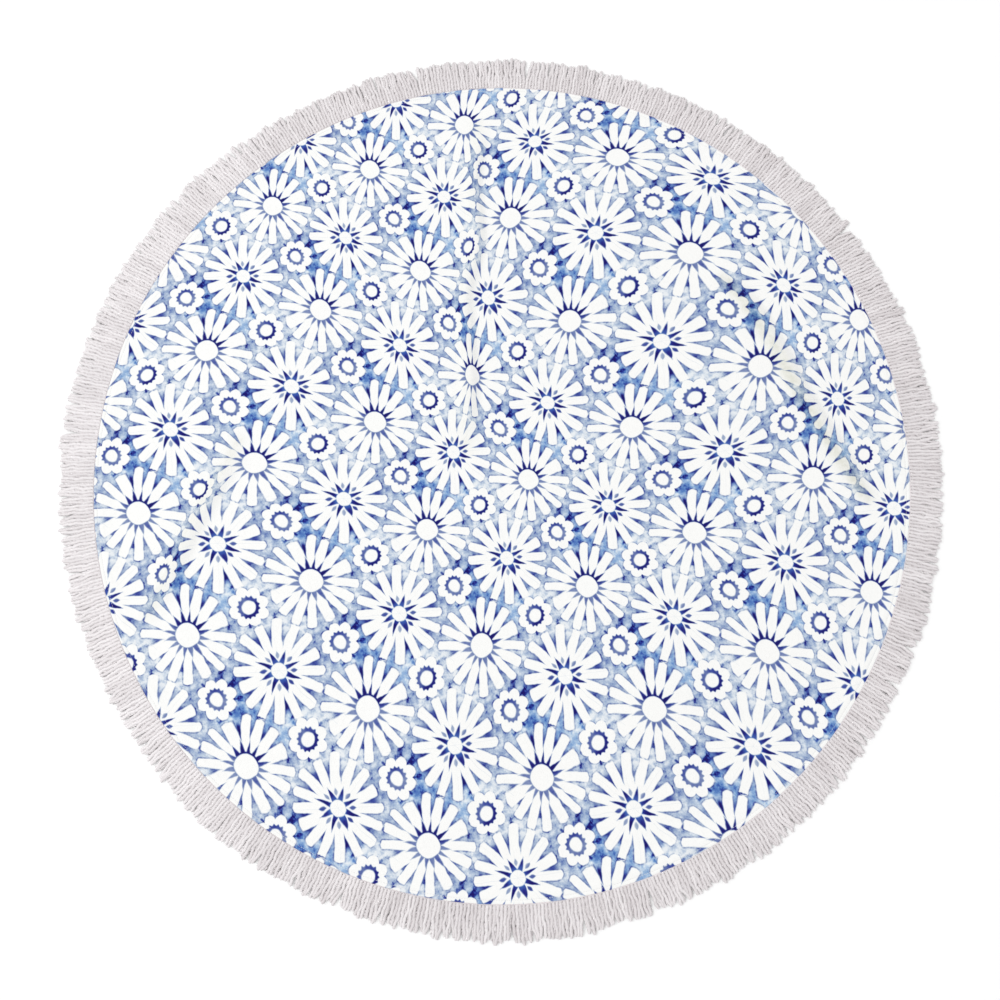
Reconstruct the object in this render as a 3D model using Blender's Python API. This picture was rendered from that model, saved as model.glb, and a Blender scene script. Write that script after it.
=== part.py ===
# Round beach towel, lying flat and face up: a printed terry disc with a turned hem,
# and a fringe trim whose heading is sewn under the hem all the way round.
# Metres, +Z up, +Y towards the top of the print. The towel lies on the plane z = 0.

import functools
import math
import random

import bmesh
import bpy
from mathutils import Vector, noise
from mathutils.geometry import delaunay_2d_cdt

# Cloth
CLOTH_RADIUS = 0.7037
CLOTH_THICKNESS = 0.0020
HEM_WIDTH = 0.014
HEM_THICKNESS = 0.0024
HEM_STEP = 0.004
SEAM_SLOPE = 0.026

# Fringe trim
FRINGE_RADIUS = 0.762
FRINGE_CENTRE = Vector((-0.0014, 0.0047))
FLANGE_WIDTH = 0.010
FLANGE_THICKNESS = 0.0010
HEADING_SHOWING = 0.006
HEADING_THICKNESS = 0.0020
LOCK_COUNT = 288
LOCK_THICKNESS = 0.0021
LOCK_TIP_THICKNESS = 0.0013
LOCK_MID_WIDTH = 0.0142
LOCK_TIP_WIDTH = 0.0128
LOCK_TOP_SHARE = 0.75

# Clearances between the two sewn pieces
SEAM_GAP = 0.0003
EDGE_GAP = 0.0006

# How finely the cloth is faceted
RIM_POINTS = 144
INNER_RING_POINTS = 96
FIELD_SPACING = 0.056
FIELD_MARGIN = 0.020
CREASE_SPACING = 0.024
CREASE_ROWS = (-1.0, -0.67, -0.33, 0.0, 0.33, 0.67, 1.0)
MERGE_LIMIT = 0.00001

# Soft creases left from folding: height, half width, and the line each one follows
CREASES = (
    {"height": 0.0080, "half_width": 0.021,
     "line": ((-0.034, 0.650), (-0.043, 0.588), (-0.053, 0.510), (-0.045, 0.400),
              (-0.066, 0.300), (-0.062, 0.220), (-0.056, 0.150), (-0.058, 0.060),
              (-0.046, 0.000))},
    {"height": 0.0090, "half_width": 0.023,
     "line": ((0.395, 0.350), (0.454, 0.266), (0.500, 0.180), (0.533, 0.109),
              (0.584, 0.015), (0.645, -0.078))},
    {"height": 0.0065, "half_width": 0.022,
     "line": ((-0.440, 0.050), (-0.494, -0.052), (-0.532, -0.129), (-0.568, -0.221),
              (-0.590, -0.285))},
)
CREASE_FADE = 0.11

# Broad low swells where the cloth does not quite lie down: centre, radius and height
SWELLS = (
    {"centre": (-0.100, -0.460), "radius": 0.185, "height": 0.0040},
    {"centre": (0.230, -0.400), "radius": 0.160, "height": 0.0028},
    {"centre": (-0.330, 0.290), "radius": 0.150, "height": 0.0025},
    {"centre": (0.220, 0.440), "radius": 0.140, "height": 0.0025},
)

# How far the fringe's outline stands out (+) or in (-) of its circle, by angle in degrees
REACH = (
    (0, 0.002), (15, 0.004), (36, 0.002), (50, -0.001), (80, -0.003), (120, -0.004),
    (135, 0.004), (155, 0.006), (175, 0.004), (190, 0.000), (214, -0.005), (235, -0.001),
    (252, -0.002), (270, 0.003), (288, -0.001), (305, 0.001), (335, -0.002), (360, 0.002),
)

# Places where the fringe parts: angle in degrees, and how far each side leans away
PARTINGS = (
    (34, 0.0055), (76, 0.0030), (103, 0.0045), (109, 0.0040), (176, 0.0030), (195, 0.0030),
    (233, 0.0030), (250, 0.0055), (271, 0.0035), (279.5, 0.0040), (289, 0.0055),
    (330.5, 0.0035), (335.5, 0.0035),
)
PARTING_LOCKS = 5
LEAN_AT_MIDDLE = 0.35
DRIFT_SIZE = 0.0040
DRIFT_WAVES = 6.0
RAGGED = 0.0024
TIP_SLANT = 0.0018
RANDOM_SEED = 12


def clear_scene():
    for item in list(bpy.data.objects):
        bpy.data.objects.remove(item, do_unlink=True)


def make_material(name, colour, roughness):
    material = bpy.data.materials.new(name)
    material.use_nodes = True
    shader = material.node_tree.nodes["Principled BSDF"]
    shader.inputs["Base Color"].default_value = (*colour, 1.0)
    shader.inputs["Roughness"].default_value = roughness
    shader.inputs["Metallic"].default_value = 0.0
    return material


def cloth_material():
    return make_material("printed_terry", (0.56, 0.62, 0.74), 0.95)


def yarn_material():
    return make_material("cotton_yarn", (0.71, 0.67, 0.68), 0.92)


def make_object(name, shape, material):
    bmesh.ops.recalc_face_normals(shape, faces=shape.faces)
    mesh = bpy.data.meshes.new(name)
    shape.to_mesh(mesh)
    shape.free()
    mesh.materials.append(material)
    item = bpy.data.objects.new(name, mesh)
    bpy.context.scene.collection.objects.link(item)
    return item


def smooth_step(value):
    value = min(max(value, 0.0), 1.0)
    return value * value * (3.0 - 2.0 * value)


def blend_table(table, angle):
    for (start, low), (end, high) in zip(table, table[1:]):
        if start <= angle <= end:
            return low + (high - low) * smooth_step((angle - start) / (end - start))
    return table[-1][1]


# The cloth ------------------------------------------------------------------


@functools.cache
def smooth_path(line):
    # A curve through the line's points, read at even steps
    path = []
    knots = [Vector(knot) for knot in (line[0], *line, line[-1])]
    for before, start, end, after in zip(knots, knots[1:], knots[2:], knots[3:]):
        count = max(1, round((end - start).length / CREASE_SPACING))
        for step in range(count):
            t = step / count
            bend = (end - before) * t + (2 * before - 5 * start + 4 * end - after) * t ** 2
            path.append(start + (bend + (3 * start - before - 3 * end + after) * t ** 3) / 2)
    path.append(Vector(line[-1]))
    return path


def path_length(path):
    return sum((b - a).length for a, b in zip(path, path[1:]))


def nearest_on_path(point, path):
    # Distance to the path, and how far along it the nearest place is
    best = (math.inf, 0.0)
    travelled = 0.0
    for start, end in zip(path, path[1:]):
        step = end - start
        share = min(max((point - start).dot(step) / step.length_squared, 0.0), 1.0)
        distance = (point - start - step * share).length
        best = min(best, (distance, travelled + share * step.length))
        travelled += step.length
    return best


def crease_height(point):
    total = 0.0
    for crease in CREASES:
        path = smooth_path(crease["line"])
        distance, along = nearest_on_path(point, path)
        across = distance / crease["half_width"]
        if across < 1.0:
            left = min(along, path_length(path) - along)
            shape = math.cos(across * math.pi / 2) ** 2
            total += crease["height"] * shape * smooth_step(left / CREASE_FADE)
    return total


def swell_height(point):
    total = 0.0
    for swell in SWELLS:
        across = (point - Vector(swell["centre"])).length / swell["radius"]
        if across < 1.0:
            total += swell["height"] * math.cos(across * math.pi / 2) ** 2
    return total


def seam_lift(radius):
    # The hem rides on the trim's flange and comes down to the floor inside it
    inside = CLOTH_RADIUS - HEM_WIDTH - radius
    return (FLANGE_THICKNESS + SEAM_GAP) * (1.0 - smooth_step(inside / SEAM_SLOPE))


def cloth_thickness(radius):
    inside = CLOTH_RADIUS - HEM_WIDTH - radius
    return HEM_THICKNESS + (CLOTH_THICKNESS - HEM_THICKNESS) * smooth_step(inside / HEM_STEP)


def underside(point):
    return seam_lift(point.length) + crease_height(point) + swell_height(point)


def ring_points(radius, count):
    turns = (2 * math.pi * step / count for step in range(count))
    return [Vector((radius * math.cos(turn), radius * math.sin(turn))) for turn in turns]


def crease_points(crease):
    # Rows of points along the crease: its crown, its flanks and its feet
    path = smooth_path(crease["line"])
    points = []
    for before, centre, after in zip(path, path[1:], path[2:]):
        along = (after - before).normalized()
        side = Vector((-along.y, along.x)) * crease["half_width"]
        points += [centre + side * across for across in CREASE_ROWS]
    return points


def clear_of_creases(point):
    return all(
        nearest_on_path(point, smooth_path(crease["line"]))[0]
        > crease["half_width"] + FIELD_MARGIN
        for crease in CREASES
    )


def field_points():
    # Even triangles over the flat cloth, kept clear of the creases' own rows
    limit = CLOTH_RADIUS - HEM_WIDTH - SEAM_SLOPE - FIELD_MARGIN
    row_height = FIELD_SPACING * math.sqrt(0.75)
    reach = math.ceil(limit / row_height)
    points = []
    for row in range(-reach, reach + 1):
        for column in range(-reach, reach + 1):
            shift = 0.5 * (row % 2)
            point = Vector(((column + shift) * FIELD_SPACING, row * row_height))
            if point.length < limit and clear_of_creases(point):
                points.append(point)
    return points


def cloth_plan():
    hem_inside = CLOTH_RADIUS - HEM_WIDTH
    points = ring_points(CLOTH_RADIUS, RIM_POINTS)
    points += ring_points(hem_inside, RIM_POINTS)
    points += ring_points(hem_inside - HEM_STEP, RIM_POINTS)
    points += ring_points(hem_inside - SEAM_SLOPE, INNER_RING_POINTS)
    points += field_points()
    room = hem_inside - SEAM_SLOPE - FIELD_MARGIN / 2
    for crease in CREASES:
        points += [point for point in crease_points(crease) if point.length < room]
    plan = delaunay_2d_cdt(points, [], [], 0, MERGE_LIMIT)
    return plan[0], plan[2]


def build_cloth():
    points, triangles = cloth_plan()
    shape = bmesh.new()
    back = []
    face = []
    for point in points:
        low = underside(point)
        back.append(shape.verts.new((point.x, point.y, low)))
        face.append(shape.verts.new((point.x, point.y, low + cloth_thickness(point.length))))
    for a, b, c in triangles:
        shape.faces.new((face[a], face[b], face[c]))
        shape.faces.new((back[c], back[b], back[a]))
    for a in range(RIM_POINTS):
        b = (a + 1) % RIM_POINTS
        shape.faces.new((back[a], back[b], face[b], face[a]))
    return make_object("towel_cloth", shape, cloth_material())


# The fringe trim ------------------------------------------------------------


def heading_profile():
    # Section of the heading from its inner foot round to its outer foot
    inner = CLOTH_RADIUS - FLANGE_WIDTH
    step = CLOTH_RADIUS + EDGE_GAP
    outer = CLOTH_RADIUS + HEADING_SHOWING
    return (
        (outer, HEADING_THICKNESS),
        (step, HEADING_THICKNESS),
        (step, FLANGE_THICKNESS),
        (inner, FLANGE_THICKNESS),
        (inner, 0.0),
        (outer, 0.0),
    )


def build_heading(shape):
    rings = []
    for radius, height in heading_profile():
        corners = ring_points(radius, LOCK_COUNT)
        rings.append([shape.verts.new((*corner, height)) for corner in corners])
    for lower, upper in zip(rings, rings[1:]):
        for a in range(LOCK_COUNT):
            b = (a + 1) % LOCK_COUNT
            shape.faces.new((lower[a], lower[b], upper[b], upper[a]))
    return rings[0], rings[-1]


def parting_lean(angle):
    # Locks beside a parting lean away from it, less and less with distance
    pitch = 360.0 / LOCK_COUNT
    total = 0.0
    for place, size in PARTINGS:
        away = ((angle - place + 180.0) % 360.0 - 180.0) / pitch
        if abs(away) < PARTING_LOCKS:
            total += math.copysign(size * (1.0 - abs(away) / PARTING_LOCKS) ** 2, away)
    return total


def drift_lean(turn):
    place = Vector((math.cos(turn), math.sin(turn), 0.0)) * DRIFT_WAVES
    return DRIFT_SIZE * noise.noise(place)


def lock_length(turn, outward, chance):
    reach = FRINGE_RADIUS + blend_table(REACH, math.degrees(turn))
    root = CLOTH_RADIUS + HEADING_SHOWING
    return reach + FRINGE_CENTRE.dot(outward) - root + chance.uniform(-RAGGED, RAGGED)


def lock_section(shape, centre, outward, width, height, slant):
    across = Vector((-outward.y, outward.x))
    corners = []
    for side, level, share in ((-1, 0.0, 1.0), (1, 0.0, 1.0),
                               (1, height, LOCK_TOP_SHARE), (-1, height, LOCK_TOP_SHARE)):
        place = centre + across * (side * share * width / 2) + outward * (side * slant)
        corners.append(shape.verts.new((*place, level)))
    return corners


def build_lock(shape, root, turn, chance):
    outward = Vector((math.cos(turn), math.sin(turn)))
    across = Vector((-outward.y, outward.x))
    length = lock_length(turn, outward, chance)
    lean = parting_lean(math.degrees(turn)) + drift_lean(turn)
    start = outward * (CLOTH_RADIUS + HEADING_SHOWING)
    middle = start + outward * (length * 0.5) + across * (lean * LEAN_AT_MIDDLE)
    tip = start + outward * length + across * lean
    slant = chance.uniform(-TIP_SLANT, TIP_SLANT)
    sections = [
        root,
        lock_section(shape, middle, outward, LOCK_MID_WIDTH, LOCK_THICKNESS, 0.0),
        lock_section(shape, tip, outward, LOCK_TIP_WIDTH, LOCK_TIP_THICKNESS, slant),
    ]
    for near, far in zip(sections, sections[1:]):
        for a in range(4):
            b = (a + 1) % 4
            shape.faces.new((near[a], near[b], far[b], far[a]))
    shape.faces.new(sections[-1])


def build_fringe():
    chance = random.Random(RANDOM_SEED)
    shape = bmesh.new()
    top, foot = build_heading(shape)
    for a in range(LOCK_COUNT):
        b = (a + 1) % LOCK_COUNT
        turn = 2 * math.pi * (a + 0.5) / LOCK_COUNT
        build_lock(shape, (foot[a], foot[b], top[b], top[a]), turn, chance)
    return make_object("fringe_trim", shape, yarn_material())


# The whole towel ------------------------------------------------------------


def centre_on_origin(pieces):
    # The middle of the towel's box goes to the origin, under a shared parent
    holder = bpy.data.objects.new("towel", None)
    bpy.context.scene.collection.objects.link(holder)
    corners = [vert.co for piece in pieces for vert in piece.data.vertices]
    for axis in (0, 1):
        low = min(corner[axis] for corner in corners)
        high = max(corner[axis] for corner in corners)
        holder.location[axis] = -(low + high) / 2
    for piece in pieces:
        piece.parent = holder


def main():
    clear_scene()
    centre_on_origin([build_cloth(), build_fringe()])


main()
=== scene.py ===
import math
import random
from functools import partialmethod

import bpy
import numpy as np
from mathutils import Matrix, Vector, noise


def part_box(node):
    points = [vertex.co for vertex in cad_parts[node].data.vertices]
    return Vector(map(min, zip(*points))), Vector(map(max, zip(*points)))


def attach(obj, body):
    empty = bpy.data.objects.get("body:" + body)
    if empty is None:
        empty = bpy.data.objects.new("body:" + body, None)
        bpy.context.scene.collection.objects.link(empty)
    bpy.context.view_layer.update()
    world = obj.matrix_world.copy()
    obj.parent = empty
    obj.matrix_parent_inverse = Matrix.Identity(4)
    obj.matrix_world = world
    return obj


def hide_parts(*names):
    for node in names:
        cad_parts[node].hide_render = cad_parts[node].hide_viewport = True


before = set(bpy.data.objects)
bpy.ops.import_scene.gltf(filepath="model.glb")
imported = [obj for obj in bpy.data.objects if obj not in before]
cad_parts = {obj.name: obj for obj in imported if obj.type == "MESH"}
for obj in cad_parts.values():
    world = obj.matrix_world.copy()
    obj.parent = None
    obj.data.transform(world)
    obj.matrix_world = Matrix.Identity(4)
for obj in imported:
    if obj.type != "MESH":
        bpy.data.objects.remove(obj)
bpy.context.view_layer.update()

# Round beach towel lying face up: printed terry disc, turned hem, twisted cotton fringe.
# Everything below is worked out about the cloth's own centre, then moved to clothCentre.

clothLow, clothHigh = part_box("towel_cloth")
clothCentre = ((clothLow + clothHigh) / 2).to_2d()
fullTurn = 2 * math.pi


def smoothStep(value):
    value = np.clip(value, 0.0, 1.0)
    return value * value * (3.0 - 2.0 * value)


def startMaterial(name):
    # a material with an empty node tree
    material = bpy.data.materials.new(name)
    material.use_nodes = True
    material.node_tree.nodes.clear()
    return material, material.node_tree


def addObject(name, data):
    added = bpy.data.objects.new(name, data)
    bpy.context.scene.collection.objects.link(added)
    return added


def addPiece(name, mesh, slot, *nodes):
    piece = addObject(name, mesh)
    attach(piece, "root")
    if nodes:
        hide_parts(*nodes)
    return piece


def addNode(tree, kind, feeds=(), **settings):
    # feeds are inputs, in order or by name: values, sockets, wires or nodes (first output)
    node = tree.nodes.new(kind)
    for name, value in settings.items():
        setattr(node, name, value)
    for place, value in feeds.items() if isinstance(feeds, dict) else enumerate(feeds):
        if isinstance(value, bpy.types.Node):
            value = value.outputs[0]
        elif isinstance(value, Wire):
            value = value.socket
        if isinstance(value, bpy.types.NodeSocket):
            tree.links.new(value, node.inputs[place])
        else:
            node.inputs[place].default_value = value
    return node


class Wire:
    # a node's output that takes part in sums like a plain number
    def __init__(self, node, output=0):
        self.tree, self.socket = node.id_data, node.outputs[output]

    def join(self, operation, *others, first=()):
        values = (*first, self, *others)
        return Wire(addNode(self.tree, "ShaderNodeMath", values, operation=operation))

    def joinAfter(self, operation, other):
        return self.join(operation, first=(other,))

    __add__ = partialmethod(join, "ADD")
    __radd__ = partialmethod(joinAfter, "ADD")
    __sub__ = partialmethod(join, "SUBTRACT")
    __rsub__ = partialmethod(joinAfter, "SUBTRACT")
    __mul__ = partialmethod(join, "MULTIPLY")
    __rmul__ = partialmethod(joinAfter, "MULTIPLY")
    __truediv__ = partialmethod(join, "DIVIDE")
    __pow__ = partialmethod(join, "POWER")
    __abs__ = partialmethod(join, "ABSOLUTE")
    floor = partialmethod(join, "FLOOR")
    nearest = partialmethod(join, "ROUND")
    sin = partialmethod(join, "SINE")
    cos = partialmethod(join, "COSINE")
    root = partialmethod(join, "SQRT")
    above = partialmethod(join, "MAXIMUM")
    below = partialmethod(join, "MINIMUM")

    def softAbove(self, other, reach):
        # the larger of two, with the corner between them rounded off
        near = (reach - abs(self - other)).above(0.0)
        return self.above(other) + near * near / (4 * reach)

    def step(self, start, end, low=0.0, high=1.0):
        # smooth rise (or fall) from low at start to high at end
        return Wire(addNode(self.tree, "ShaderNodeMapRange", (self, start, end, low, high),
                            interpolation_type="SMOOTHSTEP"))

    def wrap(self, count):
        # whole numbers that begin again at 0 after going once round
        return self - ((self + 0.01) / count).floor() * count

    def hash(self, salt):
        # a fixed random share for each whole number
        seed = self.nearest() * 1.37 + salt
        return Wire(addNode(self.tree, "ShaderNodeTexWhiteNoise", {"W": seed},
                            noise_dimensions="1D"), "Value")


def readAttribute(tree, name):
    return Wire(addNode(tree, "ShaderNodeAttribute", attribute_name=name), "Fac")


def objectPlace(tree):
    return addNode(tree, "ShaderNodeTexCoord").outputs["Object"]


def makeNoise(tree, scale, detail):
    return Wire(addNode(tree, "ShaderNodeTexNoise", {
        "Vector": objectPlace(tree), "Scale": scale, "Detail": detail}), "Fac")


def makeTufts(tree, scale):
    return Wire(addNode(tree, "ShaderNodeTexVoronoi", {
        "Vector": objectPlace(tree), "Scale": scale}), "Distance")


def makeRamp(tree, share, tones):
    # tones are positions from 0 to 1 with their colours
    ramp = addNode(tree, "ShaderNodeValToRGB", [share])
    elements = ramp.color_ramp.elements
    for position, _ in tones[1:-1]:
        elements.new(position)
    for element, (_, colour) in zip(elements, tones):
        element.color = (*colour, 1)
    return ramp


def finishMaterial(tree, colour, height, relief, roughness, specular, sheen=0.0):
    # relief: how strong the bump is, and its depth in metres
    bump = addNode(tree, "ShaderNodeBump", {
        "Strength": relief[0], "Distance": relief[1], "Height": height})
    shader = addNode(tree, "ShaderNodeBsdfPrincipled", {
        "Base Color": colour, "Normal": bump, "Roughness": roughness,
        "Specular IOR Level": specular, "Sheen Weight": sheen})
    addNode(tree, "ShaderNodeOutputMaterial", [shader])


view = {
    "height": 1.30,        # of the lens over the cloth
    "swell": 0.09,         # how much larger the near side of the print looks
    "clothShare": 0.4072,  # radius of the cloth as a share of the picture's width
    "sideways": 0.0019,
    "upwards": 0.0036,
}


def makeCamera():
    # the lens stands over the lower half and tips up: the disc stays round, larger below
    radius = (clothHigh.x - clothLow.x) / 2
    height = view["height"]
    ratio = 2 * radius / view["swell"]
    back = (ratio - math.sqrt(ratio ** 2 - 4 * (height ** 2 + radius ** 2))) / 2
    tilt = math.atan2(radius + back, height) + math.atan2(back - radius, height)
    forward = Vector((0, math.sin(tilt), -math.cos(tilt)))
    upward = Vector((0, math.cos(tilt), math.sin(tilt)))
    lens = Vector((0, -back, height))

    def seenHeight(point):
        ray = Vector(point) - lens
        return ray.dot(upward) / ray.dot(forward)

    top, bottom = seenHeight((0, radius, 0)), seenHeight((0, -radius, 0))
    seenWidth = (top - bottom) / 2 / view["clothShare"]
    camera = bpy.data.cameras.new("view")
    camera.lens = camera.sensor_width / seenWidth
    camera.shift_x = -view["sideways"]
    camera.shift_y = (top + bottom) / 2 / seenWidth - view["upwards"]
    holder = addObject("view", camera)
    holder.location = lens + Vector((*clothCentre, 0))
    holder.rotation_euler = (tilt, 0, 0)
    bpy.context.scene.camera = holder


studio = {
    "sky": 0.87,            # even light from all round
    "softboxPower": 235.0,
    "softboxSize": 4.0,
    "softboxPlace": (-6.0, 1.2, 6.2),
    "floorShade": 0.97,
    "floorSize": 40.0,
    "floorDrop": 0.0003,    # keeps the floor just under the yarns
}


def makeStudio():
    world = bpy.data.worlds.new("studio")
    world.use_nodes = True
    sky = world.node_tree.nodes["Background"].inputs
    sky["Color"].default_value = (1, 1, 1, 1)
    sky["Strength"].default_value = studio["sky"]
    bpy.context.scene.world = world

    light = bpy.data.lights.new("softbox", "AREA")
    light.energy = studio["softboxPower"]
    light.size = studio["softboxSize"]
    holder = addObject("softbox", light)
    holder.location = studio["softboxPlace"]
    holder.rotation_euler = (-holder.location).to_track_quat("-Z", "Y").to_euler()

    half, low = studio["floorSize"] / 2, -studio["floorDrop"]
    mesh = bpy.data.meshes.new("floor")
    corners = ((-half, -half), (half, -half), (half, half), (-half, half))
    mesh.from_pydata([(x, y, low) for x, y in corners], [], [(0, 1, 2, 3)])
    material, tree = startMaterial("paleFloor")
    shader = addNode(tree, "ShaderNodeBsdfPrincipled", {
        "Base Color": (*[studio["floorShade"]] * 3, 1), "Roughness": 0.9})
    addNode(tree, "ShaderNodeOutputMaterial", [shader])
    mesh.materials.append(material)
    floor = addObject("floor", mesh)
    bpy.context.scene.view_settings.view_transform = "Standard"


makeCamera()
makeStudio()
print("camera, light and floor are set")


cloth = {
    "radius": 0.7037,
    "thickness": 0.0020,
    "hemWidth": 0.014,
    "hemThickness": 0.0024,
    "hemStep": 0.004,
    "edgeRounding": 0.0011,
    "seamLift": 0.0013,       # the hem rides on the fringe's flange
    "seamSlope": 0.026,
    "stitchInset": 0.006,     # sewing line, in from the edge
    "stitchSink": 0.0005,
    "spokes": 768,
    "ringSpacing": 0.0053,
    "backSpacing": 0.011,
    "edgeSteps": 6,
    "creaseFade": 0.11,
    "greyFade": 0.03,
    "ripple": 0.00035,        # fine unevenness all over
    "takeUpNear": 0.014,      # how soon beside a crease the print is drawn in, and how far
    "takeUpFar": 0.12,
    "greyPlace": 0.008,       # where beside a crease the painted shade lies
    "greyWidth": 0.011,
    "stitchGroove": 0.0012,
}

# height, half width, how much print is taken up across it, how strong the painted crease shade is
# and on which side, and its line
creases = (
    {"height": 0.0080, "halfWidth": 0.021, "takeUp": 0.016, "grey": 0.35, "greyWay": (-1.0, 0.0),
     "line": ((-0.034, 0.650), (-0.043, 0.588), (-0.053, 0.510), (-0.045, 0.400),
              (-0.066, 0.300), (-0.062, 0.220), (-0.056, 0.150), (-0.058, 0.060),
              (-0.046, 0.000))},
    {"height": 0.0090, "halfWidth": 0.023, "takeUp": 0.005, "grey": 1.0, "greyWay": (-0.83, -0.56),
     "line": ((0.395, 0.350), (0.454, 0.266), (0.500, 0.180), (0.533, 0.109),
              (0.584, 0.015), (0.645, -0.078))},
    {"height": 0.0065, "halfWidth": 0.022, "takeUp": 0.019, "grey": 0.5, "greyWay": (-0.91, 0.41),
     "line": ((-0.440, 0.050), (-0.494, -0.052), (-0.532, -0.129), (-0.568, -0.221),
              (-0.590, -0.285))},
)

swells = (
    {"centre": (-0.100, -0.460), "radius": 0.185, "height": 0.0040},
    {"centre": (0.230, -0.400), "radius": 0.160, "height": 0.0028},
    {"centre": (-0.330, 0.290), "radius": 0.150, "height": 0.0025},
    {"centre": (0.220, 0.440), "radius": 0.140, "height": 0.0025},
)

# how far the print lies aside of its even repeat, in millimetres to the right and up, on a
# square grid with rows from the bottom to the top; fitted to the photograph
askew = (
    ((-2, 26), (14, 3), (30, -25), (35, -32), (30, -31), (38, -22), (69, -16), (82, -19)),
    ((-8, 16), (8, 4), (13, -17), (15, -24), (11, -16), (14, -7), (47, -30), (23, -18)),
    ((-13, 17), (-8, 9), (15, 10), (18, 2), (1, 9), (4, 4), (11, -10), (-11, 2)),
    ((-18, 34), (-9, 23), (5, 4), (14, -1), (-8, -4), (-20, -3), (0, -1), (7, -11)),
    ((-29, 35), (-18, 26), (18, -3), (9, -19), (-30, -22), (-13, -16), (43, 1), (-11, -17)),
    ((-11, 34), (2, 30), (3, 8), (-24, -20), (-39, -15), (-5, 20), (48, 20), (6, -16)),
    ((7, 27), (3, 26), (-14, 3), (-28, -22), (-41, 21), (-8, 47), (22, 29), (10, -22)),
    ((26, 26), (10, 10), (-10, -11), (-34, -18), (-60, 6), (-41, 4), (2, 0), (30, -16)),
)
askewSpacing = 0.2


def smoothPath(line, spacing=0.006):
    path = []
    knots = [np.array(knot) for knot in (line[0], *line, line[-1])]
    for before, start, end, after in zip(knots, knots[1:], knots[2:], knots[3:]):
        count = max(1, round(np.linalg.norm(end - start) / spacing))
        for step in range(count):
            t = step / count
            bend = (end - before) * t + (2 * before - 5 * start + 4 * end - after) * t ** 2
            path.append(start + (bend + (3 * start - before - 3 * end + after) * t ** 3) / 2)
    path.append(np.array(line[-1]))
    return np.array(path)


def followPath(points, path):
    # for every point: its signed distance to the path, how far along, and the side it is on
    steps = np.diff(path, axis=0)
    lengths = np.linalg.norm(steps, axis=1)
    starts = np.concatenate([[0], np.cumsum(lengths)[:-1]])
    best = np.full(len(points), np.inf)
    along = np.zeros(len(points))
    side = np.zeros((len(points), 2))
    for start, step, length, before in zip(path, steps, lengths, starts):
        share = np.clip((points - start) @ step / length ** 2, 0, 1)
        gap = points - start - share[:, None] * step
        distance = np.linalg.norm(gap, axis=1)
        closer = distance < best
        best[closer] = distance[closer]
        along[closer] = before + share[closer] * length
        normal = np.array((-step[1], step[0])) / length
        side[closer] = normal * np.sign(gap[closer] @ normal)[:, None]
    return best, along, side, lengths.sum()


def besideCrease(points, crease, fade):
    # distance and side of each point, and how much of the crease there is beside it
    distance, along, side, whole = followPath(points, smoothPath(crease["line"]))
    return distance, side, smoothStep(np.minimum(along, whole - along) / fade)


def clothLift(points):
    # height of the cloth's underside over the floor
    radius = np.linalg.norm(points, axis=1)
    inside = cloth["radius"] - cloth["hemWidth"] - radius
    lift = cloth["seamLift"] * (1 - smoothStep(inside / cloth["seamSlope"]))
    for crease in creases:
        distance, _, ends = besideCrease(points, crease, cloth["creaseFade"])
        across = np.clip(distance / crease["halfWidth"], 0, 1)
        lift += crease["height"] * np.cos(across * math.pi / 2) ** 2 * ends
    for swell in swells:
        across = np.linalg.norm(points - np.array(swell["centre"]), axis=1) / swell["radius"]
        lift += swell["height"] * np.cos(np.clip(across, 0, 1) * math.pi / 2) ** 2
    return lift


def ripples(points):
    edge = smoothStep((cloth["radius"] - 0.030 - np.linalg.norm(points, axis=1)) / 0.05)
    values = [noise.noise(Vector((x * 14, y * 14, 3.1))) + 0.5 * noise.noise(
        Vector((x * 37, y * 37, 8.7))) for x, y in points]
    return cloth["ripple"] * edge * (np.array(values) + 0.8)


def clothThickness(points):
    radius = np.linalg.norm(points, axis=1)
    inside = cloth["radius"] - cloth["hemWidth"] - radius
    change = cloth["thickness"] - cloth["hemThickness"]
    groove = np.exp(-((radius - cloth["radius"] + cloth["stitchInset"])
                    / cloth["stitchGroove"]) ** 2)
    return (cloth["hemThickness"] + change * smoothStep(inside / cloth["hemStep"])
            - cloth["stitchSink"] * groove)


def splineShare(away):
    # smooth bump four grid steps wide
    away = np.abs(away)
    near = 2 / 3 - away ** 2 + away ** 3 / 2
    far = np.clip(2 - away, 0, None) ** 3 / 6
    return np.where(away < 1, near, far)


def cutPlan(points):
    # where each point of the lying cloth is on the evenly printed one
    shifts = np.array(askew, dtype=float) / 1000
    knots = (np.arange(len(shifts)) - (len(shifts) - 1) / 2) * askewSpacing
    wideShares = splineShare((points[:, :1] - knots) / askewSpacing)
    highShares = splineShare((points[:, 1:] - knots) / askewSpacing)
    plan = points - np.einsum("ni,nj,jik->nk", wideShares, highShares, shifts)
    for crease in creases:
        distance, side, ends = besideCrease(points, crease, cloth["creaseFade"])
        spread = np.tanh(distance / cloth["takeUpNear"]) * ends
        spread *= np.exp(-(distance / cloth["takeUpFar"]) ** 2)
        plan += side * (crease["takeUp"] / 2 * spread)[:, None]
    return plan


def ringRadii():
    # rings run close together over the hem, and evenly inside it
    radius = cloth["radius"]
    fine = [radius - inset for inset in (
        0.0030, 0.0040, 0.0048, 0.0054, 0.0060, 0.0066, 0.0072, 0.0082, 0.0098, 0.0116,
        0.0134, 0.0148, 0.0162, 0.0178, 0.0200, 0.0230, 0.0265)]
    count = round(fine[-1] / cloth["ringSpacing"])
    even = [fine[-1] * (1 - step / count) for step in range(1, count)]
    return fine + even


def spokeCount(radius, full):
    count = full
    while count > 24 and radius < 0.5 * cloth["radius"] * count / full:
        count //= 2
    return count


def ringPoints(radius, count):
    turns = np.arange(count) * fullTurn / count
    return np.stack([np.cos(turns), np.sin(turns)], 1) * radius


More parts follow.
